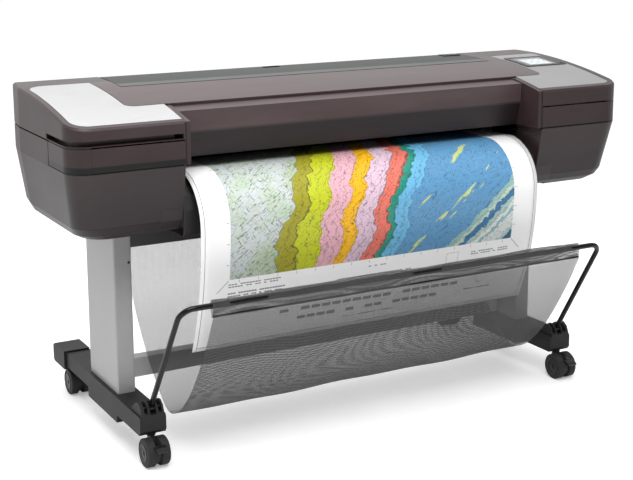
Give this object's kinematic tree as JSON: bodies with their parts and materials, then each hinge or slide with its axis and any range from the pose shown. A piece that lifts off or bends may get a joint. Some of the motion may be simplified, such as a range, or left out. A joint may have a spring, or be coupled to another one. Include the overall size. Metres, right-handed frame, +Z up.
{
  "type": "large format plotter",
  "caption": "Wheeled large format inkjet plotter with side cabinets, hinged covers, roll feed, touch screen, open stand and folding mesh basket holding a printed sheet.",
  "frame": {"origin": "on the floor at the centre of the footprint", "axes": "+X to the machine's right as its user faces it, +Y to its back, +Z up"},
  "size_m": [1.802, 0.911, 0.9985],
  "materials": {
    "body_plastic": "satin moulded",
    "lid_plastic": "satin moulded",
    "silver_panel": "fine brushed",
    "black_plastic": "satin",
    "screen_glass": "gloss",
    "column_paint": "satin powder coat",
    "beam_paint": "satin powder coat",
    "foot_plastic": "textured",
    "caster_plastic": "satin",
    "caster_tyre": "smooth",
    "tube_enamel": "gloss",
    "mesh_fabric": "open mesh",
    "printed_paper": "printed",
    "roll_paper": "plain",
    "sheet_steel": "zinc plated",
    "platen_plastic": "satin",
    "roller_rubber": "smooth",
    "gear_plastic": "smooth",
    "mechanism_plastic": "satin"
  },
  "bodies": {
    "root": {"left_cabinet_lower": "body_plastic", "right_cabinet_lower": "body_plastic", "left_cabinet_upper": "body_plastic", "right_cabinet_upper": "body_plastic", "left_band": "body_plastic", "right_band": "body_plastic", "top_cover": "lid_plastic", "left_top_panel": "silver_panel", "right_top_panel": "silver_panel", "lower_cover": "black_plastic", "control_panel": "black_plastic", "basket_pivot_pins": "black_plastic", "touch_screen": "screen_glass", "left_column": "column_paint", "right_column": "column_paint", "crossbar": "beam_paint", "top_beam": "beam_paint", "left_foot": "foot_plastic", "right_foot": "foot_plastic", "foot_end_caps": "foot_plastic", "basket_rear_rod": "tube_enamel", "basket_rear_panel": "mesh_fabric", "paper_sheet": "printed_paper", "chassis": "sheet_steel", "carriage_rail": "sheet_steel", "carriage_motor": "sheet_steel", "feed_motor": "sheet_steel", "electronics_box": "sheet_steel", "platen": "platen_plastic", "carriage_belt": "roller_rubber", "service_station": "mechanism_plastic", "ink_cartridges": "mechanism_plastic"},
    "window": {"front_window": "body_plastic"},
    "rear_cover": {"roll_cover": "lid_plastic"},
    "left_door": {"left_ink_door": "body_plastic"},
    "right_door": {"right_ink_door": "body_plastic"},
    "carriage_body": {"carriage": "mechanism_plastic"},
    "drive_pulley_body": {"drive_pulley": "gear_plastic"},
    "idler_pulley_body": {"idler_pulley": "gear_plastic"},
    "feed": {"feed_roller": "roller_rubber", "feed_gear": "gear_plastic"},
    "pinion_body": {"feed_pinion": "gear_plastic"},
    "pinch": {"pinch_rollers": "roller_rubber"},
    "roll_body": {"spindle": "mechanism_plastic", "media_roll": "roll_paper"},
    "basket": {"basket_tube": "tube_enamel", "basket_front_panel": "mesh_fabric", "basket_hem_rod": "tube_enamel"},
    "front_left_swivel": {"front_left_caster": "caster_plastic"},
    "front_right_swivel": {"front_right_caster": "caster_plastic"},
    "rear_left_swivel": {"rear_left_caster": "caster_plastic"},
    "rear_right_swivel": {"rear_right_caster": "caster_plastic"},
    "front_left_wheels": {"front_left_wheel": "caster_tyre"},
    "front_right_wheels": {"front_right_wheel": "caster_tyre"},
    "rear_left_wheels": {"rear_left_wheel": "caster_tyre"},
    "rear_right_wheels": {"rear_right_wheel": "caster_tyre"},
    "left_brake": {"left_brake_lever": "caster_plastic"},
    "right_brake": {"right_brake_lever": "caster_plastic"},
    "button": {"power_button": "black_plastic"},
    "switch": {"power_switch": "black_plastic"}
  },
  "joints": [
    {"name": "window_hinge", "type": "hinge", "parent": "root", "child": "window", "pos_m": [0, -0.143, 0.949], "axis": [-1, 0, 0], "range_deg": [0, 75]},
    {"name": "roll_cover_hinge", "type": "hinge", "parent": "root", "child": "rear_cover", "pos_m": [0, 0.246, 0.905], "axis": [-1, 0, 0], "range_deg": [0, 80]},
    {"name": "left_ink_door_hinge", "type": "hinge", "parent": "root", "child": "left_door", "pos_m": [-0.716, -0.268, 0.826], "axis": [1, 0, 0], "range_deg": [0, 80]},
    {"name": "right_ink_door_hinge", "type": "hinge", "parent": "root", "child": "right_door", "pos_m": [0.716, -0.268, 0.826], "axis": [1, 0, 0], "range_deg": [0, 80]},
    {"name": "carriage_slide", "type": "slide", "parent": "root", "child": "carriage_body", "axis": [-1, 0, 0], "range_m": [0, 1.352]},
    {"name": "drive_pulley_spin", "type": "hinge", "parent": "root", "child": "drive_pulley_body", "pos_m": [0.84, -0.057, 0.94], "axis": [0, 1, 0], "continuous": true},
    {"name": "idler_pulley_spin", "type": "hinge", "parent": "root", "child": "idler_pulley_body", "pos_m": [-0.84, -0.057, 0.94], "axis": [0, 1, 0], "continuous": true},
    {"name": "feed_roller_spin", "type": "hinge", "parent": "root", "child": "feed", "pos_m": [0, 0.005, 0.765], "axis": [1, 0, 0], "continuous": true},
    {"name": "feed_pinion_spin", "type": "hinge", "parent": "root", "child": "pinion_body", "pos_m": [-0.615, 0.04, 0.765], "axis": [1, 0, 0], "continuous": true},
    {"name": "pinch_roller_spin", "type": "hinge", "parent": "root", "child": "pinch", "pos_m": [0, 0.005, 0.7929], "axis": [1, 0, 0], "continuous": true},
    {"name": "spindle_spin", "type": "hinge", "parent": "root", "child": "roll_body", "pos_m": [0, 0.165, 0.905], "axis": [1, 0, 0], "continuous": true},
    {"name": "basket_fold", "type": "hinge", "parent": "root", "child": "basket", "pos_m": [0, -0.243, 0.156], "axis": [-1, 0, 0], "range_deg": [0, 30], "deforming": ["paper_sheet"]},
    {"name": "front_left_caster_swivel", "type": "hinge", "parent": "root", "child": "front_left_swivel", "pos_m": [-0.696, -0.243, 0.09], "axis": [0, 0, 1], "continuous": true},
    {"name": "front_left_wheel_spin", "type": "hinge", "parent": "front_left_swivel", "child": "front_left_wheels", "pos_m": [-0.696, -0.268, 0.04], "axis": [1, 0, 0], "continuous": true},
    {"name": "front_right_caster_swivel", "type": "hinge", "parent": "root", "child": "front_right_swivel", "pos_m": [0.696, -0.243, 0.09], "axis": [0, 0, 1], "continuous": true},
    {"name": "front_right_wheel_spin", "type": "hinge", "parent": "front_right_swivel", "child": "front_right_wheels", "pos_m": [0.696, -0.268, 0.04], "axis": [1, 0, 0], "continuous": true},
    {"name": "rear_left_caster_swivel", "type": "hinge", "parent": "root", "child": "rear_left_swivel", "pos_m": [-0.696, 0.388, 0.09], "axis": [0, 0, 1], "continuous": true},
    {"name": "rear_left_wheel_spin", "type": "hinge", "parent": "rear_left_swivel", "child": "rear_left_wheels", "pos_m": [-0.696, 0.363, 0.04], "axis": [1, 0, 0], "continuous": true},
    {"name": "rear_right_caster_swivel", "type": "hinge", "parent": "root", "child": "rear_right_swivel", "pos_m": [0.696, 0.388, 0.09], "axis": [0, 0, 1], "continuous": true},
    {"name": "rear_right_wheel_spin", "type": "hinge", "parent": "rear_right_swivel", "child": "rear_right_wheels", "pos_m": [0.696, 0.363, 0.04], "axis": [1, 0, 0], "continuous": true},
    {"name": "left_brake_press", "type": "hinge", "parent": "front_left_swivel", "child": "left_brake", "pos_m": [-0.696, -0.306, 0.067], "axis": [1, 0, 0], "range_deg": [0, 14]},
    {"name": "right_brake_press", "type": "hinge", "parent": "front_right_swivel", "child": "right_brake", "pos_m": [0.696, -0.306, 0.067], "axis": [1, 0, 0], "range_deg": [0, 14]},
    {"name": "power_button_press", "type": "slide", "parent": "root", "child": "button", "axis": [0, 0, -1], "range_m": [0, 0.0012], "stiffness_N_per_m": 300},
    {"name": "power_switch_rock", "type": "hinge", "parent": "root", "child": "switch", "pos_m": [-0.683, 0.248, 0.701], "axis": [1, 0, 0], "range_deg": [0, 10]}
  ],
  "couplings": [
    {"joint": "drive_pulley_spin", "follows": "carriage_slide", "rad_per_m": 90.909},
    {"joint": "idler_pulley_spin", "follows": "carriage_slide", "rad_per_m": 90.909},
    {"joint": "feed_pinion_spin", "follows": "feed_roller_spin", "ratio": -2.5},
    {"joint": "pinch_roller_spin", "follows": "feed_roller_spin", "ratio": -1.3636}
  ]
}
